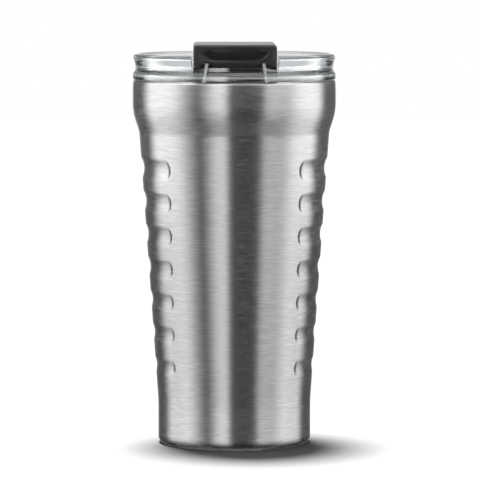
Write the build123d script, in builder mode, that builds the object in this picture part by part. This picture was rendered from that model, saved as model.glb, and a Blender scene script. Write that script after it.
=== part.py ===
from build123d import *
from math import cos, radians, sin, tan
import os

# Vacuum-insulated tumbler with a press-in lid and a flip tab.
# Millimetres. +Z is up, the origin is the centre of the foot on the table,
# and the flip tab's lip points to -Y.

os.makedirs("parts", exist_ok=True)

# ---- driving dimensions -------------------------------------------------
body_height = 158.0
foot_lip_radius = 28.0
foot_lip_z = 3.6
base_radius = 33.1
taper_start_z = 18.3
taper_end_radius = 41.14
taper_end_z = 134.35
collar_radius = 44.0
collar_start_z = 144.2
collar_end_z = 153.5
rim_radius = 43.8
rim_turn = 1.5
outer_wall = 0.6
liner_wall = 0.5

# Grip dents: a column of shallow pressed grooves on each side, shallower downwards.
dent_count = 7
dent_top_z = 119.6
dent_pitch = 14.27
dent_top_depth = 1.02
dent_bottom_depth = 0.50
dent_section_radius = 9.8
dent_top_half_angle = 41.8
dent_bottom_half_angle = 37.7

# Liner, parallel to the outer wall with the vacuum gap between them.
mouth_radius = 41.5
mouth_top_z = 153.2
mouth_bottom_z = 145.5
liner_taper_radius = 38.3
liner_taper_z = 136.5
liner_weld_z = 20.0
liner_floor_z = 8.5
liner_corner_radius = 7.0
foil_thickness = 0.1
foil_gap = 0.05
foil_bottom_z = 24.0
foil_top_z = 132.0

# Foot closure.
bottom_plate_z = 3.4
bottom_flange_z = 1.2
dimple_radius = 4.0
dimple_z = 4.8
bead_height = 0.9
bead_width = 2.2
pump_hole_radius = 0.6
getter_radius = 4.7
getter_offset = 15.0
cup_wall = 0.3
cup_height = 2.6
cover_thickness = 0.6
cover_groove_radius = 18.0

# Lid.
lid_seat_gap = 0.05
deck_z = 158.6
deck_thickness = 2.4
ring_top_z = 169.3
ring_inner_radius = 40.9
bead_radius = 43.95
waist_radius = 42.8
skirt_outer_radius = 40.3
skirt_inner_radius = 37.4
skirt_bottom_z = 147.0
groove_radius = 38.9
groove_bottom_z = 149.8
groove_top_z = 153.4
gasket_lip_radius = 40.95
notch_half_width = 18.2
sill_half_width = 12.6
sill_z = 164.5
sill_side_z = 163.2
rib_top_z = 166.4
rib_top_x = 12.0
rib_bottom_x = 13.2
rib_width = 1.4
rib_back_y = -40.3
rib_depth = 2.15
sip_y = -31.0
sip_length = 16.0
sip_width = 8.0
sip_draft = 25.0
vent_y = -12.0
vent_radius = 0.8

# Hinge of the flip tab.
hinge_y = 1.0
hinge_z = 167.0
pin_radius = 1.25
pin_clearance = 0.05
ear_radius = 3.8
ear_inner_x = 12.4
ear_outer_x = 15.0
stop_y = hinge_y - 6.85
stop_depth = 2.0
stop_width = 14.0
stop_height = 6.4
pin_half_length = 17.5

# Flip tab.
tab_top_z = 174.4
tab_half_width = 17.7
tab_edge_radius = 1.8
lip_radius = 45.8
lip_thickness = 1.7
lip_underside_z = 172.5
lip_arch = 0.4
lip_corner_radius = 2.0
face_radius = 43.35
cheek_radius = 42.9
tab_low_z = 158.9
tab_low_radius = 39.2
scoop_reach = 46.5
scoop_radius = 6.2
scoop_half_angle = 12.7
tab_inner_half_width = 15.4
tab_wall_radius = 37.4
tab_plate_z = 172.2
window_half_width = 14.4
window_radius = 41.3
heel_radius = tab_top_z - hinge_z
heel_inner_radius = tab_plate_z - hinge_z
ear_slot_inner_x = 12.0
ear_slot_y = 2.6
post_end_z = 160.6
post_length = 11.0
post_width = 4.0
vent_post_radius = 2.0

# Silicone seals under the tab.
rubber_gap = 0.05
plug_gap = 0.15
plug_height = 2.0
flange_height = 1.2
cup_rubber = 1.0
cup_depth = 2.2

deck_underside_z = deck_z - deck_thickness
flange_z = body_height + lid_seat_gap
sip_taper = deck_thickness * tan(radians(sip_draft))
plug_taper = plug_height * tan(radians(sip_draft))
taper_slope = (taper_end_radius - base_radius) / (taper_end_z - taper_start_z)


def wall_radius(z):
    """Outer radius of the straight taper at height z."""
    return base_radius + taper_slope * (z - taper_start_z)


def liner_radius(z):
    """Outer radius of the liner's taper at height z."""
    return liner_taper_radius - taper_slope * (liner_taper_z - z)


def body_outline():
    """Outer skin in half section, from the foot's inner lip round to the rolled rim."""
    return FilletPolyline(
        (foot_lip_radius, foot_lip_z),
        (foot_lip_radius, 0),
        (base_radius, 0),
        (base_radius, taper_start_z),
        (taper_end_radius, taper_end_z),
        (collar_radius, collar_start_z),
        (collar_radius, collar_end_z),
        (rim_radius, body_height),
        (rim_radius - rim_turn, body_height),
        radius=[1.2, 2.2, 100, 45, 25, 60, 0.9],
    )


def cut_dents(inset):
    """Press both columns of grip dents, with their tool surface moved inwards by inset."""
    section = dent_section_radius + inset
    for index in range(dent_count):
        share = index / (dent_count - 1)
        z = dent_top_z - dent_pitch * index
        depth = dent_top_depth + share * (dent_bottom_depth - dent_top_depth)
        half_angle = dent_top_half_angle + share * (dent_bottom_half_angle - dent_top_half_angle)
        reach = wall_radius(z) - depth + dent_section_radius
        for side_angle in (0, 180):
            start = radians(side_angle - half_angle)
            end = radians(side_angle + half_angle)
            outward = (cos(start), sin(start), 0)
            sideways = (sin(start), -cos(start), 0)
            with BuildSketch(Plane((0, 0, z), x_dir=outward, z_dir=sideways)) as section_disc:
                with Locations((reach, 0)):
                    Circle(section)
            revolve(section_disc.sketch, axis=Axis.Z, revolution_arc=2 * half_angle, mode=Mode.SUBTRACT)
            with Locations(
                (reach * cos(start), reach * sin(start), z),
                (reach * cos(end), reach * sin(end), z),
            ):
                Sphere(section, mode=Mode.SUBTRACT)


# ---- body ---------------------------------------------------------------
with BuildPart() as shell_space:
    with BuildSketch(Plane.XZ):
        with BuildLine():
            outline = body_outline()
            offset(outline, amount=outer_wall, side=Side.LEFT, closed=False, mode=Mode.REPLACE)
            Line((rim_radius - rim_turn, body_height - outer_wall), (rim_radius - rim_turn, body_height))
            Line((rim_radius - rim_turn, body_height), (0, body_height))
            Line((0, body_height), (0, foot_lip_z))
            Line((0, foot_lip_z), (foot_lip_radius + outer_wall, foot_lip_z))
        make_face()
    revolve(axis=Axis.Z)
    cut_dents(outer_wall)

with BuildPart() as outer_shell:
    with BuildSketch(Plane.XZ):
        with BuildLine():
            body_outline()
            Line((rim_radius - rim_turn, body_height), (0, body_height))
            Line((0, body_height), (0, foot_lip_z))
            Line((0, foot_lip_z), (foot_lip_radius, foot_lip_z))
        make_face()
    revolve(axis=Axis.Z)
    cut_dents(0)
    add(shell_space.part, mode=Mode.SUBTRACT)
outer_shell.part.label = "outer_shell"
export_step(outer_shell.part, "parts/outer_shell.step")

with BuildPart() as liner_tube:
    with BuildSketch(Plane.XZ):
        with BuildLine():
            FilletPolyline(
                (rim_radius - rim_turn, body_height),
                (rim_radius - rim_turn, mouth_top_z + 2.3),
                (mouth_radius, mouth_top_z),
                (mouth_radius, mouth_bottom_z),
                (liner_taper_radius, liner_taper_z),
                (liner_radius(liner_weld_z), liner_weld_z),
                radius=[2, 2, 8, 20],
            )
            offset(amount=liner_wall, side=Side.RIGHT)
        make_face()
    revolve(axis=Axis.Z)
liner_tube.part.label = "liner_tube"
export_step(liner_tube.part, "parts/liner_tube.step")

with BuildPart() as liner_bottom:
    with BuildSketch(Plane.XZ):
        with BuildLine():
            FilletPolyline(
                (liner_radius(liner_weld_z), liner_weld_z),
                (liner_radius(liner_floor_z), liner_floor_z),
                (0, liner_floor_z),
                radius=liner_corner_radius,
            )
            offset(amount=liner_wall, side=Side.RIGHT)
        make_face()
    revolve(axis=Axis.Z)
liner_bottom.part.label = "liner_bottom"
export_step(liner_bottom.part, "parts/liner_bottom.step")

with BuildPart() as radiation_foil:
    with BuildSketch(Plane.XZ):
        with BuildLine():
            Line(
                (liner_radius(foil_bottom_z) + foil_gap, foil_bottom_z),
                (liner_radius(foil_top_z) + foil_gap, foil_top_z),
            )
            offset(amount=foil_thickness, side=Side.RIGHT)
        make_face()
    revolve(axis=Axis.Z)
radiation_foil.part.label = "radiation_foil"
export_step(radiation_foil.part, "parts/radiation_foil.step")

with BuildPart() as outer_bottom:
    with BuildSketch(Plane.XZ):
        with BuildLine():
            FilletPolyline(
                (foot_lip_radius, bottom_flange_z),
                (foot_lip_radius, bottom_plate_z),
                (dimple_radius + 1.5, bottom_plate_z),
                (dimple_radius, dimple_z),
                (pump_hole_radius, dimple_z),
                radius=[0.7, 1.2, 0.6],
            )
            offset(amount=outer_wall, side=Side.LEFT)
        make_face()
    revolve(axis=Axis.Z)
outer_bottom.part.label = "outer_bottom"
export_step(outer_bottom.part, "parts/outer_bottom.step")

with BuildPart() as sealing_bead:
    with BuildSketch(Plane.XZ):
        with BuildLine():
            bead_base_z = dimple_z - outer_wall
            ThreePointArc(
                (0, bead_base_z - bead_height),
                (bead_width * 0.72, bead_base_z - bead_height * 0.62),
                (bead_width, bead_base_z),
            )
            Polyline(
                (bead_width, bead_base_z),
                (pump_hole_radius - 0.02, bead_base_z),
                (pump_hole_radius - 0.02, dimple_z),
                (0, dimple_z),
                (0, bead_base_z - bead_height),
            )
        make_face()
    revolve(axis=Axis.Z)
sealing_bead.part.label = "sealing_bead"
export_step(sealing_bead.part, "parts/sealing_bead.step")

with BuildPart() as base_cover:
    cover_bottom_z = bottom_plate_z - outer_wall - cover_thickness
    with BuildSketch(Plane.XY.offset(cover_bottom_z)):
        Circle(foot_lip_radius - outer_wall - 0.1)
    extrude(amount=cover_thickness)
    with BuildSketch(Plane.XY.offset(cover_bottom_z)):
        Circle(cover_groove_radius + 0.5)
        Circle(cover_groove_radius - 0.5, mode=Mode.SUBTRACT)
    extrude(amount=0.2, mode=Mode.SUBTRACT)
    fillet(base_cover.edges().group_by(Axis.Z)[0].sort_by(SortBy.LENGTH)[-1], radius=0.25)
base_cover.part.label = "base_cover"
export_step(base_cover.part, "parts/base_cover.step")

with BuildPart() as getter_cup:
    with BuildSketch(Plane((getter_offset, 0, bottom_plate_z))):
        Circle(getter_radius + cup_wall)
    extrude(amount=cup_height)
    with BuildSketch(Plane((getter_offset, 0, bottom_plate_z + cup_wall))):
        Circle(getter_radius)
    extrude(amount=cup_height, mode=Mode.SUBTRACT)
    with BuildSketch(Plane((getter_offset, 0, bottom_plate_z + cup_height - cup_wall))):
        with PolarLocations(getter_radius - 0.4, 3):
            Rectangle(1.2, 1.8)
    extrude(amount=cup_wall)
getter_cup.part.label = "getter_cup"
export_step(getter_cup.part, "parts/getter_cup.step")

with BuildPart() as getter_pellet:
    with BuildSketch(Plane((getter_offset, 0, bottom_plate_z + cup_wall))):
        Circle(getter_radius - 0.1)
    extrude(amount=cup_height - 2 * cup_wall)
    chamfer(getter_pellet.edges(), length=0.2)
getter_pellet.part.label = "getter_pellet"
export_step(getter_pellet.part, "parts/getter_pellet.step")

# ---- lid ----------------------------------------------------------------
with BuildPart() as lid_body:
    with BuildSketch(Plane.XZ):
        with BuildLine():
            FilletPolyline(
                (0, deck_underside_z),
                (skirt_inner_radius, deck_underside_z),
                (skirt_inner_radius, skirt_bottom_z),
                (skirt_outer_radius, skirt_bottom_z),
                (skirt_outer_radius, groove_bottom_z),
                (groove_radius, groove_bottom_z),
                (groove_radius, groove_top_z),
                (skirt_outer_radius, groove_top_z),
                (skirt_outer_radius, flange_z),
                (bead_radius, flange_z),
                (bead_radius - 0.05, flange_z + 3.05),
                (waist_radius, flange_z + 4.55),
                (waist_radius, ring_top_z - 4.7),
                (waist_radius + 1.45, ring_top_z),
                (ring_inner_radius, ring_top_z),
                (ring_inner_radius, deck_z),
                (0, deck_z),
                radius=[1.5, 0.5, 0.8, 0, 0, 0, 0, 0.4, 0.9, 0.9, 1.4, 4, 1.5, 1.2, 1.6],
            )
            Line((0, deck_z), (0, deck_underside_z))
        make_face()
    revolve(axis=Axis.Z)
    # Notch in the upper bead, where the tab's front passes; its sill slopes down at both sides.
    with BuildSketch(Plane.XZ.offset(30)):
        with BuildLine():
            Polyline(
                (-notch_half_width, ring_top_z + 1),
                (-notch_half_width, sill_side_z),
                (-sill_half_width, sill_z),
                (sill_half_width, sill_z),
                (notch_half_width, sill_side_z),
                (notch_half_width, ring_top_z + 1),
                close=True,
            )
        make_face()
    extrude(amount=bead_radius - 30 + 1, mode=Mode.SUBTRACT)
    # Two leaning ribs stand in the notch and run down the front of the lower bead.
    with BuildSketch(Plane.XZ.offset(-rib_back_y)):
        with BuildLine():
            Polyline(
                (rib_top_x - rib_width / 2, rib_top_z),
                (rib_top_x + rib_width / 2, rib_top_z),
                (rib_bottom_x + rib_width / 2, flange_z + 0.2),
                (rib_bottom_x - rib_width / 2, flange_z + 0.2),
                (rib_top_x - rib_width / 2, rib_top_z),
            )
        make_face()
        mirror(about=Plane.YZ)
    extrude(amount=rib_depth)
    # Drinking opening with drafted walls, and the vent hole.
    with BuildSketch(Plane.XY.offset(deck_z)):
        with Locations((0, sip_y)):
            SlotOverall(sip_length, sip_width)
    with BuildSketch(Plane.XY.offset(deck_underside_z)):
        with Locations((0, sip_y)):
            SlotOverall(sip_length - 2 * sip_taper, sip_width - 2 * sip_taper)
    loft(mode=Mode.SUBTRACT)
    with Locations((0, vent_y, deck_z)):
        Hole(radius=vent_radius, depth=deck_thickness)
    # Hinge ears.
    with BuildSketch(Plane.YZ.offset(ear_inner_x)):
        with Locations((hinge_y, hinge_z)):
            Circle(ear_radius)
        with Locations((hinge_y, (hinge_z + deck_z) / 2 - 0.1)):
            Rectangle(2 * ear_radius, hinge_z - deck_z + 0.2)
    ears = extrude(amount=ear_outer_x - ear_inner_x)
    mirror(ears, about=Plane.YZ)
    with BuildSketch(Plane.YZ):
        with Locations((hinge_y, hinge_z)):
            Circle(pin_radius)
    extrude(amount=ear_outer_x, both=True, mode=Mode.SUBTRACT)
    # Stop that the heel of the tab meets when it is fully open.
    with BuildSketch(Plane.XY.offset(deck_z - 0.1)):
        with Locations((0, stop_y - stop_depth / 2)):
            Rectangle(stop_width, stop_depth)
    extrude(amount=stop_height + 0.1)
lid_body.part.label = "lid_body"
export_step(lid_body.part, "parts/lid_body.step")

with BuildPart() as lid_gasket:
    with BuildSketch(Plane.XZ):
        with BuildLine():
            FilletPolyline(
                (groove_radius, groove_bottom_z),
                (skirt_outer_radius, groove_bottom_z),
                (gasket_lip_radius, groove_bottom_z + 0.9),
                (skirt_outer_radius, groove_bottom_z + 1.8),
                (gasket_lip_radius, groove_top_z - 0.9),
                (skirt_outer_radius, groove_top_z),
                (groove_radius, groove_top_z),
                radius=[0.1, 0.25, 0.25, 0.25, 0.1],
            )
            Line((groove_radius, groove_top_z), (groove_radius, groove_bottom_z))
        make_face()
    revolve(axis=Axis.Z)
lid_gasket.part.label = "lid_gasket"
export_step(lid_gasket.part, "parts/lid_gasket.step")

with BuildPart() as hinge_pin:
    with BuildSketch(Plane.YZ.offset(-pin_half_length)):
        with Locations((hinge_y, hinge_z)):
            Circle(pin_radius)
    extrude(amount=2 * pin_half_length)
    chamfer(hinge_pin.edges().filter_by(GeomType.CIRCLE), length=0.25)
hinge_pin.part.label = "hinge_pin"
export_step(hinge_pin.part, "parts/hinge_pin.step")

# ---- flip tab -----------------------------------------------------------
with BuildPart() as tab_scoop:
    scoop_start = radians(-90 - scoop_half_angle)
    scoop_end = radians(-90 + scoop_half_angle)
    scoop_plane = Plane(
        (0, 0, lip_underside_z),
        x_dir=(cos(scoop_start), sin(scoop_start), 0),
        z_dir=(sin(scoop_start), -cos(scoop_start), 0),
    )
    with BuildSketch(scoop_plane) as scoop_disc:
        with Locations((scoop_reach, 0)):
            Circle(scoop_radius)
    revolve(axis=Axis.Z, revolution_arc=2 * scoop_half_angle)
    with Locations(
        (scoop_reach * cos(scoop_start), scoop_reach * sin(scoop_start), lip_underside_z),
        (scoop_reach * cos(scoop_end), scoop_reach * sin(scoop_end), lip_underside_z),
    ):
        Sphere(scoop_radius)
    # The lip's underside arches up a little in the middle.
    with BuildSketch(Plane.XZ):
        with BuildLine():
            ThreePointArc(
                (-2 * tab_half_width, lip_underside_z - 2.8 * lip_arch),
                (0, lip_underside_z + lip_arch),
                (2 * tab_half_width, lip_underside_z - 2.8 * lip_arch),
            )
            Polyline(
                (2 * tab_half_width, lip_underside_z - 2.8 * lip_arch),
                (2 * tab_half_width, deck_z),
                (-2 * tab_half_width, deck_z),
                (-2 * tab_half_width, lip_underside_z - 2.8 * lip_arch),
            )
        make_face()
    extrude(amount=2 * lip_radius, mode=Mode.INTERSECT)

with BuildPart() as tab_hollow:
    with BuildSketch(Plane.YZ.offset(-tab_inner_half_width)):
        with BuildLine():
            hollow_low = deck_z - 2
            Polyline(
                (hinge_y + heel_inner_radius, hinge_z),
                (hinge_y + heel_inner_radius, hollow_low),
                (-lip_radius, hollow_low),
                (-lip_radius, tab_plate_z),
                (hinge_y, tab_plate_z),
            )
            RadiusArc(
                (hinge_y, tab_plate_z),
                (hinge_y + heel_inner_radius, hinge_z),
                heel_inner_radius,
            )
        make_face()
    extrude(amount=2 * tab_inner_half_width)
    with BuildSketch(Plane.XY.offset(hollow_low)):
        Circle(tab_wall_radius)
    extrude(amount=lip_radius, mode=Mode.INTERSECT)

with BuildPart() as flip_tab:
    # Front seen in radial section: lip, scooped face, step over the sill, lower front wall.
    with BuildSketch(Plane.XZ):
        with BuildLine():
            FilletPolyline(
                (0, tab_low_z),
                (tab_low_radius, tab_low_z),
                (tab_low_radius + 1.25, sill_z),
                (cheek_radius, sill_z + 0.25),
                (face_radius, rib_top_z),
                (face_radius + 0.3, lip_underside_z),
                (lip_radius, tab_top_z - lip_thickness),
                (lip_radius, tab_top_z),
                (0, tab_top_z),
                radius=[0.3, 0, 0.3, 0, 0.3, 0.7, 0.9],
            )
            Line((0, tab_top_z), (0, tab_low_z))
        make_face()
    revolve(axis=Axis.Z)
    # Side view: straight top, heel round the hinge, underside rising to the heel.
    with BuildSketch(Plane.YZ.offset(-tab_half_width)):
        with BuildLine():
            Polyline(
                (hinge_y, hinge_z + heel_radius),
                (-lip_radius - 1, hinge_z + heel_radius),
                (-lip_radius - 1, tab_low_z),
                (-35, tab_low_z),
                (-28, hinge_z - heel_radius),
                (hinge_y, hinge_z - heel_radius),
            )
            RadiusArc(
                (hinge_y, hinge_z - heel_radius),
                (hinge_y, hinge_z + heel_radius),
                heel_radius,
                short_sagitta=False,
            )
        make_face()
    extrude(amount=2 * tab_half_width, mode=Mode.INTERSECT)
    # Front view: rounded top edges.
    with BuildSketch(Plane.XZ.offset(-20)):
        with BuildLine():
            FilletPolyline(
                (-tab_half_width, tab_low_z),
                (-tab_half_width, tab_top_z),
                (tab_half_width, tab_top_z),
                (tab_half_width, tab_low_z),
                radius=tab_edge_radius,
            )
            Line((tab_half_width, tab_low_z), (-tab_half_width, tab_low_z))
        make_face()
    extrude(amount=70, mode=Mode.INTERSECT)
    # Top view: lip corners.
    with BuildSketch(Plane.XY.offset(tab_low_z)) as tab_plan:
        Circle(lip_radius)
        Rectangle(2 * tab_half_width, 2 * lip_radius, mode=Mode.INTERSECT)
        fillet(tab_plan.vertices(), radius=lip_corner_radius)
    extrude(amount=tab_top_z - tab_low_z, mode=Mode.INTERSECT)
    add(tab_scoop.part, mode=Mode.SUBTRACT)
    add(tab_hollow.part, mode=Mode.SUBTRACT)
    # Window in the front face, which leaves room for the lid's two ribs.
    with BuildSketch(Plane.XY.offset(tab_low_z)):
        with Locations((0, -lip_radius)):
            Rectangle(2 * window_half_width, 2 * (lip_radius - 30))
        Circle(window_radius, mode=Mode.SUBTRACT)
    extrude(amount=rib_top_z + 0.1 - tab_low_z, mode=Mode.SUBTRACT)
    # Bores in the side walls, and slots in the heel that clear the lid's ears.
    with BuildSketch(Plane.YZ):
        with Locations((hinge_y, hinge_z)):
            Circle(pin_radius + pin_clearance)
    extrude(amount=tab_half_width, both=True, mode=Mode.SUBTRACT)
    with BuildSketch(Plane.XY.offset(deck_z)):
        with Locations(((ear_slot_inner_x + tab_inner_half_width) / 2, ear_slot_y + heel_radius / 2)):
            Rectangle(tab_inner_half_width - ear_slot_inner_x, heel_radius)
        mirror(about=Plane.YZ)
    extrude(amount=tab_top_z - deck_z, mode=Mode.SUBTRACT)
    # Posts that carry the two silicone seals.
    with BuildSketch(Plane.XY.offset(post_end_z)):
        with Locations((0, sip_y)):
            SlotOverall(post_length, post_width)
        with Locations((0, vent_y)):
            Circle(vent_post_radius)
    extrude(amount=tab_plate_z + 0.1 - post_end_z)
flip_tab.part.label = "flip_tab"
export_step(flip_tab.part, "parts/flip_tab.step")

with BuildPart() as sip_stopper:
    # Drafted plug.
    with BuildSketch(Plane.XY.offset(deck_z + rubber_gap)):
        with Locations((0, sip_y)):
            SlotOverall(sip_length - 2 * plug_gap, sip_width - 2 * plug_gap)
    with BuildSketch(Plane.XY.offset(deck_z + rubber_gap - plug_height)):
        with Locations((0, sip_y)):
            SlotOverall(
                sip_length - 2 * plug_gap - 2 * plug_taper,
                sip_width - 2 * plug_gap - 2 * plug_taper,
            )
    loft()
    # Flange on the deck, and a cup that grips the post.
    with BuildSketch(Plane.XY.offset(deck_z + rubber_gap)):
        with Locations((0, sip_y)):
            SlotOverall(sip_length + 2, sip_width + 2)
    extrude(amount=flange_height)
    with BuildSketch(Plane.XY.offset(deck_z + rubber_gap + flange_height)):
        with Locations((0, sip_y)):
            SlotOverall(post_length + 2 * cup_rubber, post_width + 2 * cup_rubber)
    extrude(amount=post_end_z + cup_depth - deck_z - rubber_gap - flange_height)
    with BuildSketch(Plane.XY.offset(post_end_z)):
        with Locations((0, sip_y)):
            SlotOverall(post_length, post_width)
    extrude(amount=cup_depth, mode=Mode.SUBTRACT)
    fillet(sip_stopper.faces().sort_by(Axis.Z)[0].edges(), radius=0.4)
sip_stopper.part.label = "sip_stopper"
export_step(sip_stopper.part, "parts/sip_stopper.step")

with BuildPart() as vent_plug:
    with BuildSketch(Plane.XY.offset(deck_z + rubber_gap)):
        with Locations((0, vent_y)):
            Circle(vent_post_radius + cup_rubber)
    extrude(amount=post_end_z + cup_depth - deck_z - rubber_gap)
    with BuildSketch(Plane.XY.offset(post_end_z)):
        with Locations((0, vent_y)):
            Circle(vent_post_radius)
    extrude(amount=cup_depth, mode=Mode.SUBTRACT)
    fillet(vent_plug.edges().group_by(Axis.Z)[0], radius=0.4)
vent_plug.part.label = "vent_plug"
export_step(vent_plug.part, "parts/vent_plug.step")
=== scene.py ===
import math

import bmesh
import bpy
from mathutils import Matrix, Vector


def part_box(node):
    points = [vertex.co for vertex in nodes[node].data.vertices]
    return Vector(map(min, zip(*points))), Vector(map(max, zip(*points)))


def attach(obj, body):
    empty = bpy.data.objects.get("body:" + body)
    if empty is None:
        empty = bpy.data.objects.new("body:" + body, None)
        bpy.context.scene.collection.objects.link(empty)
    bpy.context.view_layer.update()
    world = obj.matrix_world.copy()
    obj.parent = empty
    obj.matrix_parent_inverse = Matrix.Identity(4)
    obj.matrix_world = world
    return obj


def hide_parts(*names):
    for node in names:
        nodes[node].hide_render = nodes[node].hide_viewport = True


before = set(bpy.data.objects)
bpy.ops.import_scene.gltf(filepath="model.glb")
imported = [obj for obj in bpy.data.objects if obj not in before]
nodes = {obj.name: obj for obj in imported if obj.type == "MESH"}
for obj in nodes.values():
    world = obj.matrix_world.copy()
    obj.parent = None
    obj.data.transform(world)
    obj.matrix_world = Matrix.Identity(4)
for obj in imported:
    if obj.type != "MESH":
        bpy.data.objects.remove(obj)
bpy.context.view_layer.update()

MM = 0.001
scene = bpy.context.scene

# ---- the shell's dimensions, in metres ------------------------------------
shell_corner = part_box("outer_shell")[1]
COLLAR_R = shell_corner.x
BODY_H = shell_corner.z

WALL = 0.6 * MM
FOOT_LIP_R = 28.0 * MM
FOOT_LIP_Z = 3.6 * MM
BASE_R = 33.1 * MM
TAPER_START_Z = 18.3 * MM
TAPER_END_R = 41.22 * MM
TAPER_END_Z = 135.5 * MM
COLLAR_START_Z = 144.2 * MM
COLLAR_END_Z = 153.5 * MM
RIM_R = 43.8 * MM
RIM_TURN = 1.5 * MM
SHELL_COLUMNS = 480
SHELL_STEP = 0.6 * MM
SHELL_SHARP = math.radians(50)

# Grip dents: depth and half angle go from the top dent's to the bottom dent's.
DENT_COUNT = 7
DENT_TOP_Z = 119.6 * MM
DENT_PITCH = 14.27 * MM
DENT_DEPTH = (1.02 * MM, 0.50 * MM)
DENT_HALF_ANGLE = (math.radians(41.8), math.radians(37.7))
DENT_SECTION_R = 9.8 * MM
DENT_SOFTNESS = 0.22 * MM


# ---- mesh helpers ---------------------------------------------------------
def add_line(path, end, step):
    """Extend a path to end, in pieces no longer than step."""
    start = path[-1]
    pieces = max(1, math.ceil(math.dist(start, end) / step))
    for k in range(1, pieces + 1):
        t = k / pieces
        path.append((start[0] + (end[0] - start[0]) * t, start[1] + (end[1] - start[1]) * t))


def add_arc(path, centre, arm, turn, pieces):
    """Extend a path by an arc that swings arm about centre."""
    for k in range(1, pieces + 1):
        angle = turn * k / pieces
        x = arm.x * math.cos(angle) - arm.y * math.sin(angle)
        y = arm.x * math.sin(angle) + arm.y * math.cos(angle)
        path.append((centre.x + x, centre.y + y))


def rounded_path(points, step, arc_step=math.radians(7)):
    """Points (r, z, fillet radius) to a list of (r, z), with arcs at the corners.

    No piece is longer than step, and no piece of an arc turns by more than arc_step.
    """
    path = [points[0][:2]]
    for before, corner, after in zip(points, points[1:], points[2:]):
        c = Vector(corner[:2])
        radius = corner[2]
        if radius <= 0:
            add_line(path, tuple(c), step)
            continue
        u = (Vector(before[:2]) - c).normalized()
        v = (Vector(after[:2]) - c).normalized()
        half = u.angle(v) / 2
        tangent = c + u * (radius / math.tan(half))
        centre = c + (u + v).normalized() * (radius / math.sin(half))
        arm = tangent - centre
        turn = math.pi - 2 * half
        sign = 1 if arm.y * u.x - arm.x * u.y > 0 else -1
        pieces = max(2, math.ceil(turn / arc_step), math.ceil(turn * radius / step))
        add_line(path, tuple(tangent), step)
        add_arc(path, centre, arm, sign * turn, pieces)
    add_line(path, points[-1][:2], step)
    return path


def make_object(name, verts, faces, material, smooth=True):
    mesh = bpy.data.meshes.new(name)
    mesh.from_pydata(verts, [], faces)
    mesh.validate()
    if smooth:
        mesh.shade_smooth()
    obj = bpy.data.objects.new(name, mesh)
    scene.collection.objects.link(obj)
    obj.data.materials.append(material)
    return obj


def closed_object(name, verts, faces, material):
    """A flat-shaded solid whose faces are turned outwards."""
    obj = make_object(name, verts, faces, material, smooth=False)
    work = bmesh.new()
    work.from_mesh(obj.data)
    bmesh.ops.recalc_face_normals(work, faces=work.faces)
    work.to_mesh(obj.data)
    work.free()
    return obj


def apply_modifiers(obj):
    depsgraph = bpy.context.evaluated_depsgraph_get()
    mesh = bpy.data.meshes.new_from_object(obj.evaluated_get(depsgraph))
    old = obj.data
    obj.modifiers.clear()
    obj.data = mesh
    bpy.data.meshes.remove(old)


def combine(target, tool, operation):
    """Join a tool to a solid, or cut it away, and use the tool up."""
    cut = target.modifiers.new("cut", "BOOLEAN")
    cut.operation = operation
    cut.solver = "EXACT"
    cut.material_mode = "TRANSFER"
    cut.object = tool
    apply_modifiers(target)
    bpy.data.objects.remove(tool)


# ---- the brushed shell ----------------------------------------------------
def smooth_min(a, b, k):
    h = max(k - abs(a - b), 0) / k
    return min(a, b) - h * h * k / 4


def between(pair, share):
    return pair[0] + share * (pair[1] - pair[0])


def taper_radius(z):
    return BASE_R + (TAPER_END_R - BASE_R) * (z - TAPER_START_Z) / (TAPER_END_Z - TAPER_START_Z)


def dented(radius, z, azimuth):
    """Radius of the pressed skin; azimuth is measured from +X."""
    fold = abs(math.remainder(azimuth, math.pi))
    index = round((DENT_TOP_Z - z) / DENT_PITCH)
    if not 0 <= index < DENT_COUNT:
        return radius
    share = index / (DENT_COUNT - 1)
    dz = z - (DENT_TOP_Z - DENT_PITCH * index)
    centre = taper_radius(z - dz) - between(DENT_DEPTH, share) + DENT_SECTION_R
    along = max(0.0, fold - between(DENT_HALF_ANGLE, share)) * centre
    square = DENT_SECTION_R ** 2 - dz ** 2 - along ** 2
    if square <= 0:
        return radius
    return smooth_min(radius, centre - math.sqrt(square), DENT_SOFTNESS)


def shell_section():
    """The wall's closed section, as points (r, z, depth under the outer skin)."""
    outer = rounded_path(
        [
            (FOOT_LIP_R, FOOT_LIP_Z, 0),
            (FOOT_LIP_R, 0, 1.2 * MM),
            (BASE_R, 0, 3.0 * MM),
            (BASE_R, TAPER_START_Z, 100 * MM),
            (TAPER_END_R, TAPER_END_Z, 7 * MM),
            (COLLAR_R, COLLAR_START_Z, 25 * MM),
            (COLLAR_R, COLLAR_END_Z, 60 * MM),
            (RIM_R, BODY_H, 0.9 * MM),
            (RIM_R - RIM_TURN, BODY_H, 0),
        ],
        SHELL_STEP,
    )
    # Inner skin: every point moved inwards along the profile's normal.
    inner = []
    for k, (r, z) in enumerate(outer):
        before = outer[max(0, k - 1)]
        after = outer[min(len(outer) - 1, k + 1)]
        along = Vector((after[0] - before[0], after[1] - before[1])).normalized()
        inner.append((r - along.y * WALL, z + along.x * WALL))
    return [(r, z, 0.0) for r, z in outer] + [(r, z, WALL) for r, z in reversed(inner)]


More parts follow.
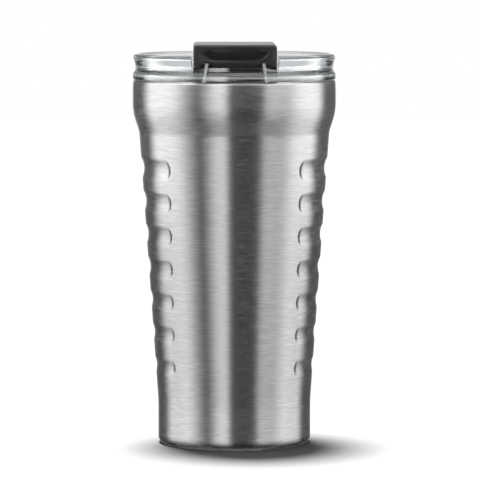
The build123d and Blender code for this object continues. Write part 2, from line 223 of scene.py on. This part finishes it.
def shell_mesh(material):
    section = shell_section()
    verts = []
    for j in range(SHELL_COLUMNS):
        azimuth = 2 * math.pi * j / SHELL_COLUMNS
        ca, sa = math.cos(azimuth), math.sin(azimuth)
        for r, z, inset in section:
            pressed = dented(r + inset, z, azimuth) - inset if z > TAPER_START_Z else r
            verts.append((pressed * ca, pressed * sa, z))
    n = len(section)
    faces = []
    for j in range(SHELL_COLUMNS):
        a, b = j * n, ((j + 1) % SHELL_COLUMNS) * n
        for i in range(n):
            k = (i + 1) % n
            faces.append((a + i, b + i, b + k, a + k))
    obj = make_object("tumbler_shell", verts, faces, material)
    obj.data.set_sharp_from_angle(angle=SHELL_SHARP)
    return obj


# ---- node trees -----------------------------------------------------------
class Tree:
    """A node tree with short calls for adding and joining nodes."""

    def __init__(self, owner):
        owner.use_nodes = True
        self.tree = owner.node_tree
        self.tree.nodes.clear()

    def add(self, kind, inputs=None, **settings):
        node = self.tree.nodes.new(kind)
        for key, value in settings.items():
            setattr(node, key, value)
        for key, value in (inputs or {}).items():
            self.put(value, node.inputs[key])
        return node

    def put(self, value, socket):
        if isinstance(value, bpy.types.NodeSocket):
            self.tree.links.new(value, socket)
        else:
            socket.default_value = value

    def math(self, operation, a, b=0.0, clamp=False):
        node = self.add("ShaderNodeMath", {0: a, 1: b}, operation=operation, use_clamp=clamp)
        return node.outputs[0]

    def times(self, a, b):
        return self.math("MULTIPLY", a, b)

    def plus(self, a, b, clamp=False):
        return self.math("ADD", a, b, clamp)

    def ramp(self, value, low, high, at_low=0.0, at_high=1.0, kind="SMOOTHSTEP"):
        """A step from at_low to at_high as value goes from low to high."""
        node = self.add("ShaderNodeMapRange", {
            "Value": value, "From Min": low, "From Max": high, "To Min": at_low, "To Max": at_high,
        }, interpolation_type=kind)
        return node.outputs["Result"]

    def line(self, value, low, high, at_low, at_high):
        return self.ramp(value, low, high, at_low, at_high, kind="LINEAR")

    def band(self, value, start, start_feather, end, end_feather):
        """1 between start and end, fading over each one's feather."""
        rise = self.ramp(value, start - start_feather / 2, start + start_feather / 2)
        painted_side_shade = self.ramp(value, end - end_feather / 2, end + end_feather / 2, 1, 0)
        return self.times(rise, painted_side_shade)

    def mix_value(self, factor, low, high):
        return self.add("ShaderNodeMix", {0: factor, 2: low, 3: high}, data_type="FLOAT").outputs[0]

    def mix_colour(self, factor, a, b):
        return self.add("ShaderNodeMix", {0: factor, 6: a, 7: b}, data_type="RGBA").outputs[2]


# ---- materials ------------------------------------------------------------
# Brush lines: cells round a turn, cells in a metre of height, and detail.
STROKES = (6.0, 2500, 1)
RINGS = (2.0, 1100, 3)
STROKE_SHARE = 0.7
LINE_ROUGHNESS = 0.7
# The noise values between which the grain goes from its least to its most.
GRAIN_SPAN = (0.3, 0.7)
SCATTER_SPAN = (0.5, 0.7)
GRAIN_TONE = 0.14
GRAIN_ROUGHNESS = 0.03
GRAIN_BUMP = 0.22
GRAIN_HEIGHT = 0.2 * MM
GRAIN_SCATTER = 0.14
SCATTER_COLOUR = (0.97, 0.96, 0.95, 1)
SCATTER_ROUGHNESS = 0.75
ANISOTROPY = 0.9
QUARTER_TURN = 0.25
# Painted shade: side walls, by the cosine of their azimuth, are darkened in their colour lower down, where
# they get less light.
SIDE_SPAN = (0.5, 0.78)
PAINTED_SIDE_SHADE_Z = (75 * MM, 135 * MM)
PAINTED_SIDE_SHADE = 0.28
# Painted shade: the rolled foot is darkened in its colour.
PAINTED_FOOT_SHADE_Z = (1.5 * MM, 5.0 * MM)
PAINTED_FOOT_SHADE = 0.16

# The fine texture of moulded and pressed pieces: cells in a metre, detail, bump and roughness.
TEXTURE_SCALE = 900.0
TEXTURE_DETAIL = 4.0
TEXTURE_BUMP = 0.05
TEXTURE_HEIGHT = 0.1 * MM
TEXTURE_ROUGHNESS = 0.15

# Clear plastic: painted highlight, a band of whitish haze round the bead that stands in for the bright band
# of light seen there.
PAINTED_GLOW_BAND = (159.75 * MM, 160.8 * MM)
GLOW_FEATHER = 0.3 * MM
GLOW_WANDER = 0.6 * MM
WANDER_SCALE = 180.0
WANDER_DETAIL = 3.0
PAINTED_GLOW_HAZE = 0.42
CLEAR_COLOUR = (0.975, 0.99, 1.0, 1)
PAINTED_GLOW_COLOUR = (0.86, 0.90, 0.88, 1)
DEPTH_COLOUR = (0.76, 0.87, 0.90, 1)
DEPTH_DENSITY = 40.0
CLEAR_IOR = 1.54


def brush_lines(t, place, angle, per_turn, per_metre, detail):
    """Noise drawn out round the axis."""
    spun = t.add("ShaderNodeCombineXYZ", {
        "X": t.times(t.math("COSINE", angle), per_turn),
        "Y": t.times(t.math("SINE", angle), per_turn),
        "Z": t.times(place.outputs["Z"], per_metre),
    })
    noise = t.add("ShaderNodeTexNoise", {
        "Vector": spun.outputs[0], "Scale": 1.0, "Detail": detail, "Roughness": LINE_ROUGHNESS,
    })
    return noise.outputs["Fac"]


def brushed_steel(name, colour, roughness):
    """Steel with fine brush lines that run round the axis, and painted shade on the lower side walls and the
    rolled foot.
    """
    material = bpy.data.materials.new(name)
    t = Tree(material)
    place = t.add("ShaderNodeSeparateXYZ", {"Vector": t.add("ShaderNodeTexCoord").outputs["Object"]})
    height = place.outputs["Z"]
    angle = t.math("ARCTAN2", place.outputs["Y"], place.outputs["X"])
    strokes = brush_lines(t, place, angle, *STROKES)
    rings = brush_lines(t, place, angle, *RINGS)
    grain = t.plus(t.times(strokes, STROKE_SHARE), t.times(rings, 1 - STROKE_SHARE))

    tone = t.line(grain, *GRAIN_SPAN, 1 - GRAIN_TONE, 1 + GRAIN_TONE)
    # Painted shade: the lower side walls are darkened in the colour.
    around = t.math("ABSOLUTE", t.math("COSINE", angle))
    painted_side_shade = t.times(t.ramp(around, *SIDE_SPAN), t.ramp(height, *PAINTED_SIDE_SHADE_Z, PAINTED_SIDE_SHADE, 0))
    level = t.times(tone, t.math("SUBTRACT", 1.0, painted_side_shade))
    # Painted shade: the rolled foot is darkened in its colour, standing in for the reflection of its shadow
    # on the table.
    level = t.times(level, t.ramp(height, *PAINTED_FOOT_SHADE_Z, PAINTED_FOOT_SHADE, 1))
    shaded = t.add("ShaderNodeVectorMath", {0: colour, "Scale": level}, operation="SCALE")

    rough = t.line(grain, *GRAIN_SPAN, roughness * (1 + GRAIN_ROUGHNESS), roughness * (1 - GRAIN_ROUGHNESS))
    bump = t.add("ShaderNodeBump", {"Height": grain, "Strength": GRAIN_BUMP, "Distance": GRAIN_HEIGHT})
    tangent = t.add("ShaderNodeTangent", direction_type="RADIAL", axis="Z")
    along = t.add("ShaderNodeBsdfPrincipled", {
        "Base Color": shaded.outputs[0],
        "Metallic": 1.0,
        "Roughness": rough,
        "Anisotropic": ANISOTROPY,
        "Anisotropic Rotation": QUARTER_TURN,
        "Tangent": tangent.outputs[0],
        "Normal": bump.outputs[0],
    })
    # Short strokes that lie across the rest scatter light from all round.
    scatter = t.add("ShaderNodeBsdfPrincipled", {
        "Base Color": SCATTER_COLOUR,
        "Metallic": 1.0,
        "Roughness": SCATTER_ROUGHNESS,
        "Normal": bump.outputs[0],
    })
    amount = t.line(strokes, *SCATTER_SPAN, 0.0, GRAIN_SCATTER)
    shader = t.add("ShaderNodeMixShader", {0: amount, 1: along.outputs[0], 2: scatter.outputs[0]})
    t.add("ShaderNodeOutputMaterial", {"Surface": shader.outputs[0]})
    return material


def simple(name, colour, roughness, metallic=0.0, **more):
    """One colour with a fine moulded or pressed texture; more holds other shader inputs."""
    material = bpy.data.materials.new(name)
    t = Tree(material)
    place = t.add("ShaderNodeTexCoord").outputs["Object"]
    texture = t.add("ShaderNodeTexNoise", {
        "Vector": place, "Scale": TEXTURE_SCALE, "Detail": TEXTURE_DETAIL,
    }).outputs["Fac"]
    bump = t.add("ShaderNodeBump", {"Height": texture, "Strength": TEXTURE_BUMP, "Distance": TEXTURE_HEIGHT})
    smoothest = roughness * (1 - TEXTURE_ROUGHNESS)
    roughest = roughness * (1 + TEXTURE_ROUGHNESS)
    inputs = {
        "Base Color": (*colour, 1),
        "Metallic": metallic,
        "Roughness": t.line(texture, 0, 1, smoothest, roughest),
        "Normal": bump.outputs[0],
    }
    inputs.update({key.replace("_", " "): value for key, value in more.items()})
    shader = t.add("ShaderNodeBsdfPrincipled", inputs)
    t.add("ShaderNodeOutputMaterial", {"Surface": shader.outputs[0]})
    return material


def clear_plastic(name, painted_haze):
    """Clear copolyester, which turns grey-green where light goes a long way through it, with a painted
    highlight: whitish haze in a band round the bead, and an even whitish haze given as the second argument.
    """
    material = bpy.data.materials.new(name)
    t = Tree(material)
    place = t.add("ShaderNodeTexCoord").outputs["Object"]
    noise = t.add("ShaderNodeTexNoise", {"Vector": place, "Scale": WANDER_SCALE, "Detail": WANDER_DETAIL})
    wander = t.times(t.math("SUBTRACT", noise.outputs["Fac"], 0.5), GLOW_WANDER)
    height = t.plus(t.add("ShaderNodeSeparateXYZ", {"Vector": place}).outputs["Z"], wander)
    low, high = PAINTED_GLOW_BAND
    band = t.band(height, low, GLOW_FEATHER, high, GLOW_FEATHER)
    # Painted highlight: the band and the even haze mix whitish colour in and take clearness away.
    painted_glow = t.plus(t.times(band, PAINTED_GLOW_HAZE), painted_haze, clamp=True)
    shader = t.add("ShaderNodeBsdfPrincipled", {
        "Base Color": t.mix_colour(painted_glow, CLEAR_COLOUR, PAINTED_GLOW_COLOUR),
        "Roughness": 0.0,
        "IOR": CLEAR_IOR,
        "Transmission Weight": t.math("SUBTRACT", 1.0, painted_glow),
    })
    depth = t.add("ShaderNodeVolumeAbsorption", {"Color": DEPTH_COLOUR, "Density": DEPTH_DENSITY})
    t.add("ShaderNodeOutputMaterial", {"Surface": shader.outputs[0], "Volume": depth.outputs[0]})
    return material


steel = brushed_steel("brushed_steel", (0.66, 0.655, 0.645), 0.283)
liner_steel = brushed_steel("liner_steel", (0.68, 0.675, 0.665), 0.35)
pressed_steel = simple("pressed_steel", (0.55, 0.55, 0.55), 0.35, metallic=1.0)
copper = simple("copper_foil", (0.8, 0.42, 0.28), 0.25, metallic=1.0)
dark_glass = simple("solder_glass", (0.03, 0.03, 0.028), 0.1)
getter = simple("getter_metal", (0.2, 0.2, 0.21), 0.7, metallic=1.0)
clear = clear_plastic("clear_plastic", 0.0)
# Painted highlight: the ribs' whitish haze stands in for the bright light that they refract.
clear_rib = clear_plastic("clear_rib", 0.35)
black = simple("black_plastic", (0.04, 0.039, 0.039), 0.33)
black_rubber = simple("black_silicone", (0.025, 0.025, 0.027), 0.55)
clear_rubber = simple("clear_silicone", (0.85, 0.87, 0.87), 0.45, Transmission_Weight=0.7, IOR=1.41)
pin_steel = simple("pin_steel", (0.7, 0.7, 0.7), 0.25, metallic=1.0)

NODE_MATERIALS = {
    "outer_bottom": pressed_steel,
    "base_cover": pressed_steel,
    "sealing_bead": dark_glass,
    "getter_cup": pressed_steel,
    "getter_pellet": getter,
    "radiation_foil": copper,
    "liner_tube": liner_steel,
    "liner_bottom": liner_steel,
    "lid_body": clear,
    "lid_gasket": clear_rubber,
    "hinge_pin": pin_steel,
    "flip_tab": black,
    "sip_stopper": black_rubber,
    "vent_plug": black_rubber,
}
for node_name, material in NODE_MATERIALS.items():
    for slot in nodes[node_name].material_slots:
        slot.material = material

shell = shell_mesh(steel)
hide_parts("outer_shell")
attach(shell, "tumbler")


# ---- the clear lid --------------------------------------------------------
FLANGE_Z = 158.05 * MM
BEAD_R = 43.95 * MM
BEAD_DRAFT = 0.05 * MM
BEAD_TOP_Z = FLANGE_Z + 3.05 * MM
WAIST_R = 42.8 * MM
WAIST_Z = (FLANGE_Z + 4.55 * MM, 164.6 * MM)
RING_R = WAIST_R + 1.45 * MM
RING_INNER_R = 40.9 * MM
RING_TOP_Z = 169.3 * MM
DECK_Z = 158.6 * MM
DECK_UNDER_Z = 156.2 * MM
DECK_FLAT_R = 36 * MM
SKIRT_Z = 147.0 * MM
SKIRT_R = 40.3 * MM
SKIRT_INNER_R = 37.4 * MM
GROOVE_R = 38.9 * MM
GROOVE_Z = (149.8 * MM, 153.4 * MM)
SILL_Z = 164.5 * MM
SILL_HALF = 12.6 * MM
SILL_SIDE_Z = 163.2 * MM
NOTCH_HALF = 18.2 * MM
NOTCH_Y = (-46 * MM, -30 * MM)
RIB_TOP = (12.0 * MM, 166.4 * MM)
RIB_BOTTOM = (13.2 * MM, 158.25 * MM)
RIB_WIDTH = 1.4 * MM
RIB_Y = (-42.45 * MM, -40.3 * MM)
SIP_Y = -31.0 * MM
SIP_SIZE = (16.0 * MM, 8.0 * MM)
SIP_DRAFT = math.radians(25)
VENT_Y = -12.0 * MM
VENT_R = 0.8 * MM
HINGE = (1.0 * MM, 167.0 * MM)
PIN_R = 1.25 * MM
EAR_R = 3.8 * MM
EAR_X = (12.4 * MM, 15.0 * MM)
STOP_Y = (-7.85 * MM, -5.85 * MM)
STOP_HALF = 7.0 * MM
STOP_TOP_Z = 165.0 * MM
LID_COLUMNS = 480
LID_STEP = 0.8 * MM
LID_SHARP = math.radians(35)
# Pieces in the half circles of the slot and the ears, of a rib, and in the round holes.
HALF_ARC = 24
RIB_ARC = 12
BORE_ARC = 48
VENT_ARC = 32
# How far tools reach past the skin they cut, and how deep joined pieces sink into the deck.
CUT_OVER = 0.2 * MM
ROOT = 0.5 * MM


def lathe(name, section, columns, material):
    """Turn an open section, whose ends are on the axis, into a closed solid."""
    verts = []
    rings = []
    for r, z in section:
        if r == 0:
            rings.append([len(verts)] * columns)
            verts.append((0, 0, z))
            continue
        rings.append(list(range(len(verts), len(verts) + columns)))
        for j in range(columns):
            angle = 2 * math.pi * j / columns
            verts.append((r * math.cos(angle), r * math.sin(angle), z))
    faces = []
    for low, high in zip(rings, rings[1:]):
        for j in range(columns):
            k = (j + 1) % columns
            corners = (low[j], low[k], high[k], high[j])
            faces.append(tuple(dict.fromkeys(corners)))
    return make_object(name, verts, faces, material)


def prism_faces(n):
    """Faces between two outlines of n points, which come one after the other, and over both ends."""
    faces = [tuple(range(n)), tuple(range(2 * n - 1, n - 1, -1))]
    return faces + [(k, n + k, n + (k + 1) % n, (k + 1) % n) for k in range(n)]


def prism(name, outline, low, high, axes, material):
    """A prism: axes names the outline's two axes and then the prism's own, as in "xzy"."""
    order = ["xyz".index(letter) for letter in axes]

    def place(u, v, w):
        point = [0.0, 0.0, 0.0]
        for index, value in zip(order, (u, v, w)):
            point[index] = value
        return point

    verts = [place(u, v, low) for u, v in outline] + [place(u, v, high) for u, v in outline]
    return closed_object(name, verts, prism_faces(len(outline)), material)


def circle_points(cx, cy, radius, count):
    angles = [2 * math.pi * k / count for k in range(count)]
    return [(cx + radius * math.cos(angle), cy + radius * math.sin(angle)) for angle in angles]


def drafted_slot(material):
    """The drinking opening: a slot whose walls draw in towards the underside."""
    verts = []
    straight = (SIP_SIZE[0] - SIP_SIZE[1]) / 2
    for z in (DECK_UNDER_Z - CUT_OVER, DECK_Z + CUT_OVER):
        radius = SIP_SIZE[1] / 2 + (z - DECK_Z) * math.tan(SIP_DRAFT)
        for end in (1, -1):
            for k in range(HALF_ARC + 1):
                angle = math.pi * k / HALF_ARC - math.pi / 2
                x = end * (straight + radius * math.cos(angle))
                y = SIP_Y + end * radius * math.sin(angle)
                verts.append((x, y, z))
    return closed_object("slot", verts, prism_faces(len(verts) // 2), material)


def rounded_bar(side, material):
    """A leaning rib beside the notch, round at its front."""
    verts = []
    radius = RIB_WIDTH / 2
    for x, z in (RIB_BOTTOM, RIB_TOP):
        centre = side * x
        row = [(centre + radius, RIB_Y[1]), (centre - radius, RIB_Y[1])]
        for k in range(RIB_ARC + 1):
            angle = math.pi + math.pi * k / RIB_ARC
            row.append((centre + radius * math.cos(angle), RIB_Y[0] + radius + radius * math.sin(angle)))
        verts += [(px, py, z) for px, py in row]
    return closed_object("rib", verts, prism_faces(len(verts) // 2), material)


def notch_tool(material):
    """The gap in the ring under the tab: a level sill that slopes down at its sides."""
    top = RING_TOP_Z + MM
    outline = [
        (-NOTCH_HALF, top),
        (-NOTCH_HALF, SILL_SIDE_Z),
        (-SILL_HALF, SILL_Z),
        (SILL_HALF, SILL_Z),
        (NOTCH_HALF, SILL_SIDE_Z),
        (NOTCH_HALF, top),
    ]
    return prism("notch", outline, *NOTCH_Y, "xzy", material)


def hinge_ear(side, material):
    """A round-topped plate that holds one end of the pin."""
    y, z = HINGE
    foot = DECK_Z - ROOT
    outline = circle_points(y, z, EAR_R, 2 * HALF_ARC)[:HALF_ARC + 1]
    outline += [(y - EAR_R, foot), (y + EAR_R, foot)]
    reach = sorted((side * EAR_X[0], side * EAR_X[1]))
    return prism("ear", outline, *reach, "yzx", material)


def stop_block(material):
    """The block that the tab's heel meets when it is fully open."""
    foot = DECK_Z - ROOT
    outline = [(STOP_Y[0], foot), (STOP_Y[1], foot), (STOP_Y[1], STOP_TOP_Z), (STOP_Y[0], STOP_TOP_Z)]
    return prism("stop", outline, -STOP_HALF, STOP_HALF, "yzx", material)


def lid_section():
    section = rounded_path(
        [
            (0, DECK_UNDER_Z, 0),
            (SKIRT_INNER_R, DECK_UNDER_Z, 1.5 * MM),
            (SKIRT_INNER_R, SKIRT_Z, 0.5 * MM),
            (SKIRT_R, SKIRT_Z, 0.8 * MM),
            (SKIRT_R, GROOVE_Z[0], 0),
            (GROOVE_R, GROOVE_Z[0], 0),
            (GROOVE_R, GROOVE_Z[1], 0),
            (SKIRT_R, GROOVE_Z[1], 0),
            (SKIRT_R, FLANGE_Z, 0.4 * MM),
            (BEAD_R, FLANGE_Z, 0.9 * MM),
            (BEAD_R - BEAD_DRAFT, BEAD_TOP_Z, 0.9 * MM),
            (WAIST_R, WAIST_Z[0], 1.4 * MM),
            (WAIST_R, WAIST_Z[1], 4 * MM),
            (RING_R, RING_TOP_Z, 1.5 * MM),
            (RING_INNER_R, RING_TOP_Z, 1.2 * MM),
            (RING_INNER_R, DECK_Z, 1.6 * MM),
            (0, DECK_Z, 0),
        ],
        LID_STEP,
    )
    # Only rings near the wall are needed on the flat deck.
    ends = (0, len(section) - 1)
    return [point for k, point in enumerate(section) if point[0] > DECK_FLAT_R or k in ends]


def lid_mesh(material, rib_material):
    lid = lathe("clear_lid", lid_section(), LID_COLUMNS, material)
    combine(lid, notch_tool(material), "DIFFERENCE")
    for side in (-1, 1):
        combine(lid, rounded_bar(side, rib_material), "UNION")
    for side in (-1, 1):
        combine(lid, hinge_ear(side, material), "UNION")
    combine(lid, stop_block(material), "UNION")
    reach = EAR_X[1] + MM
    bore = prism("bore", circle_points(*HINGE, PIN_R, BORE_ARC), -reach, reach, "yzx", material)
    combine(lid, bore, "DIFFERENCE")
    combine(lid, drafted_slot(material), "DIFFERENCE")
    hole = circle_points(0, VENT_Y, VENT_R, VENT_ARC)
    combine(lid, prism("vent", hole, DECK_UNDER_Z - MM, DECK_Z + MM, "xyz", material), "DIFFERENCE")
    lid.data.shade_smooth()
    lid.data.set_sharp_from_angle(angle=LID_SHARP)
    return lid


lid = lid_mesh(clear, clear_rib)
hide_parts("lid_body")
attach(lid, "lid")


# ---- the flip tab, with the soft edges of a moulding ----------------------
TAB_VOXEL = 0.2 * MM
TAB_SMOOTHING = 12
FACE_SMOOTHING = 60
DISH_SMOOTHING = 380
FACE_Y = -37.5 * MM
FACE_LOW_Z = 163.0 * MM
DISH_Z = (164.0 * MM, 171.2 * MM)
DISH_HALF = 16.6 * MM


def fade(distance):
    """0 outside an edge, rising to 1 over the first millimetre inside it."""
    return min(1.0, max(0.0, distance / MM))


def face_weight(x, y, z):
    return fade(FACE_Y - y) * fade(z - FACE_LOW_Z)


def dish_weight(x, y, z):
    return fade(FACE_Y - y) * fade(z - DISH_Z[0]) * fade(DISH_Z[1] - z) * fade(DISH_HALF - abs(x))


def soften(obj, iterations, weight=None):
    """Smooth the mesh, by the weight that a function gives each point where one is passed."""
    smooth = obj.modifiers.new("smooth", "SMOOTH")
    smooth.factor = 0.5
    smooth.iterations = iterations
    if weight:
        group = obj.vertex_groups.new(name="weight")
        for vertex in obj.data.vertices:
            share = weight(*vertex.co)
            if share > 0:
                group.add([vertex.index], share, "REPLACE")
        smooth.vertex_group = group.name
    apply_modifiers(obj)
    obj.vertex_groups.clear()


def moulded_tab(material):
    tab = bpy.data.objects.new("flip_lever", nodes["flip_tab"].data.copy())
    scene.collection.objects.link(tab)
    remesh = tab.modifiers.new("remesh", "REMESH")
    remesh.mode = "VOXEL"
    remesh.voxel_size = TAB_VOXEL
    apply_modifiers(tab)
    soften(tab, TAB_SMOOTHING)
    soften(tab, FACE_SMOOTHING, face_weight)
    soften(tab, DISH_SMOOTHING, dish_weight)
    tab.data.shade_smooth()
    tab.data.materials.clear()
    tab.data.materials.append(material)
    return tab


tab = moulded_tab(black)
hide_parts("flip_tab")
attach(tab, "flip")


# ---- light ----------------------------------------------------------------
# Angles are in degrees. Azimuth is 0 at the camera and positive to its right.
# Studio cards: start, its feather, end, its feather, level.
CARDS = [
    (-119, 24, -60, 44, 1.08),
    (-31, 27, -8, 9, 0.98),
    (35, 11, 119, 22, 0.56),
    (35, 12, 53, 14, 0.06),
    (73, 24, 117, 20, 0.50),
]
# The azimuths between which the front turns into the sides, and the sides' light besides the cards.
FRONT_TO_SIDE = (60, 120)
SIDE_LEVEL = 0.10

# Light for metal: the cards and the paper behind grow brighter with elevation, and there is light overhead.
# RISE_LOW and OVERHEAD_SHARE hold the front's value and the sides' value.
PAPER_EDGE = (158, 182)
PAPER_SHIFT = 2
PAPER_LEVEL = 0.6
RISE = (-48, 6)
RISE_LOW = (0.30, 0.62)
RISE_HIGH = 1.30
OVERHEAD = (5, 29)
OVERHEAD_LEVEL = 0.75
OVERHEAD_SHARE = (1.0, 0.1)
# The white floor, which only views from above see in the walls.
FLOOR_BACK = (110, 150)
FLOOR_BACK_LOW = (-60, -35)
FLOOR_BACK_LEVEL = 0.5
FLOOR_LOW = (-78, -45)
FLOOR_LEVEL = 0.4

# Light for sharp reflections and for what is seen through plastic.
CARD_FOOT = (-26, -16)
CARD_TOP = (2, 12)
CARD_GAIN = 8.0
CARD_GAIN_THROUGH = 1.2
DARK_LEVEL = 0.045
CEILING = (32, 60)
CEILING_LEVEL = 3.0
TABLE = (-16, -6)
TABLE_LEVEL = 0.5
BACKDROP = (120, 150)
BACKDROP_EDGE = (148, 172)
BACKDROP_EDGE_LEVEL = 0.3
STRIP_FOOT = (3, 6)
STRIP_FOOT_LEVEL = 0.62
STRIP_LEVEL = 1.1
STRIP_TOP = (9, 10.8)
STRIP_TOP_SHARE = 0.56

AMBIENT_LEVEL = 0.10


def seen_angles(t):
    """Azimuth and elevation of a ray, from the camera's own axes."""
    direction = t.add("ShaderNodeTexCoord").outputs["Generated"]
    seen = t.add("ShaderNodeVectorTransform", {"Vector": direction},
                 vector_type="VECTOR", convert_from="WORLD", convert_to="CAMERA")
    split = t.add("ShaderNodeSeparateXYZ", {"Vector": seen.outputs[0]})
    to_camera = t.times(split.outputs["Z"], -1.0)
    azimuth = t.times(t.math("ARCTAN2", split.outputs["X"], to_camera), 180 / math.pi)
    elevation = t.times(t.math("ARCSINE", split.outputs["Y"]), 180 / math.pi)
    return azimuth, elevation


def card_light(t, azimuth):
    total = 0.0
    for *edges, level in CARDS:
        total = t.plus(t.times(t.band(azimuth, *edges), level), total)
    return total


def metal_light(t, azimuth, elevation, turned, cards):
    """What brushed metal gathers: the cards smeared upright, and a glow from overhead."""
    side = t.ramp(turned, *FRONT_TO_SIDE)
    paper = t.ramp(t.math("ABSOLUTE", t.math("SUBTRACT", azimuth, PAPER_SHIFT)), *PAPER_EDGE)
    smeared = t.plus(t.plus(cards, t.times(side, SIDE_LEVEL)), t.times(paper, PAPER_LEVEL))
    low = t.mix_value(side, *RISE_LOW)
    smeared = t.times(smeared, t.ramp(elevation, *RISE, low, RISE_HIGH))
    overhead = t.times(t.ramp(elevation, *OVERHEAD, 0, OVERHEAD_LEVEL), t.mix_value(side, *OVERHEAD_SHARE))
    back = t.times(t.ramp(turned, *FLOOR_BACK), t.ramp(elevation, *FLOOR_BACK_LOW, FLOOR_BACK_LEVEL, 0))
    floor = t.plus(back, t.ramp(elevation, *FLOOR_LOW, FLOOR_LEVEL, 0))
    return t.plus(t.plus(smeared, overhead), floor)


def sharp_light(t, elevation, turned, cards, through):
    """What plastic shows: short bright cards, a ceiling, the table and the paper behind."""
    short = t.times(t.ramp(elevation, *CARD_FOOT), t.ramp(elevation, *CARD_TOP, 1, 0))
    gain = t.mix_value(through, CARD_GAIN, CARD_GAIN_THROUGH)
    room = t.plus(t.times(t.times(cards, short), gain), DARK_LEVEL)
    room = t.plus(room, t.ramp(elevation, *CEILING, 0, CEILING_LEVEL))
    room = t.plus(room, t.ramp(elevation, *TABLE, TABLE_LEVEL, 0))
    strip = t.times(t.ramp(elevation, *STRIP_FOOT, STRIP_FOOT_LEVEL, STRIP_LEVEL),
                    t.ramp(elevation, *STRIP_TOP, 1.0, STRIP_TOP_SHARE))
    backdrop = t.times(t.ramp(turned, *BACKDROP_EDGE, BACKDROP_EDGE_LEVEL, 1.0), strip)
    return t.mix_value(t.ramp(turned, *BACKDROP), room, backdrop)


def studio_world():
    """White paper for the camera, and studio cards for what reflects or refracts."""
    world = bpy.data.worlds.new("studio")
    scene.world = world
    world.cycles.sampling_method = "NONE"
    t = Tree(world)
    path = t.add("ShaderNodeLightPath")
    through = path.outputs["Is Transmission Ray"]
    azimuth, elevation = seen_angles(t)
    turned = t.math("ABSOLUTE", azimuth)
    cards = card_light(t, azimuth)
    metal = metal_light(t, azimuth, elevation, turned, cards)
    sharp = sharp_light(t, elevation, turned, cards, through)
    crisp = t.math("MAXIMUM", path.outputs["Is Singular Ray"], through)
    mirrored = t.mix_value(crisp, metal, sharp)
    unseen = t.mix_value(path.outputs["Is Camera Ray"], AMBIENT_LEVEL, 1.0)
    level = t.mix_value(path.outputs["Is Glossy Ray"], unseen, mirrored)
    shade = t.add("ShaderNodeBackground", {"Strength": level, "Color": (1, 1, 1, 1)})
    t.add("ShaderNodeOutputWorld", {"Surface": shade.outputs[0]})


FLOOR_HALF = 3.0
FLOOR_GREY = 0.37
SUN_ENERGY = 9.0
SUN_ANGLE = math.radians(13)
SUN_DIRECTION = Vector((0.05, -0.14, -1))

studio_world()

corners = [(x * FLOOR_HALF, y * FLOOR_HALF, 0) for x, y in ((-1, -1), (1, -1), (1, 1), (-1, 1))]
floor_white = simple("floor_white", (FLOOR_GREY, FLOOR_GREY, FLOOR_GREY), 0.9)
floor = make_object("floor", corners, [(0, 1, 2, 3)], floor_white, smooth=False)
# A floor in full sun would turn the clear lid chalk white.
floor.visible_glossy = False
floor.visible_transmission = False

sun = bpy.data.objects.new("key", bpy.data.lights.new("key", "SUN"))
scene.collection.objects.link(sun)
sun.data.energy = SUN_ENERGY
sun.data.angle = SUN_ANGLE
sun.rotation_euler = SUN_DIRECTION.to_track_quat("-Z", "Y").to_euler()
sun.visible_glossy = False

# ---- camera ---------------------------------------------------------------
DISTANCE = 1.6
CAMERA_HEIGHT = 0.219
VIEW_WIDTH = 0.2087
TURN = math.radians(0.75)
AIM = Vector((0.0025, 0, 0.0883))
SENSOR = 36

camera = bpy.data.objects.new("camera", bpy.data.cameras.new("camera"))
scene.collection.objects.link(camera)
camera.location = (AIM.x - DISTANCE * math.sin(TURN), -DISTANCE * math.cos(TURN), CAMERA_HEIGHT)
camera.rotation_euler = (AIM - camera.location).to_track_quat("-Z", "Y").to_euler()
camera.data.sensor_width = SENSOR
camera.data.lens = SENSOR * (AIM - camera.location).length / VIEW_WIDTH
camera.data.clip_start = 0.1
camera.data.clip_end = 20
scene.camera = camera

scene.view_settings.view_transform = "Standard"
scene.cycles.use_denoising = True
scene.cycles.transmission_bounces = 16
scene.cycles.max_bounces = 20
scene.cycles.caustics_refractive = True
scene.cycles.caustics_reflective = False
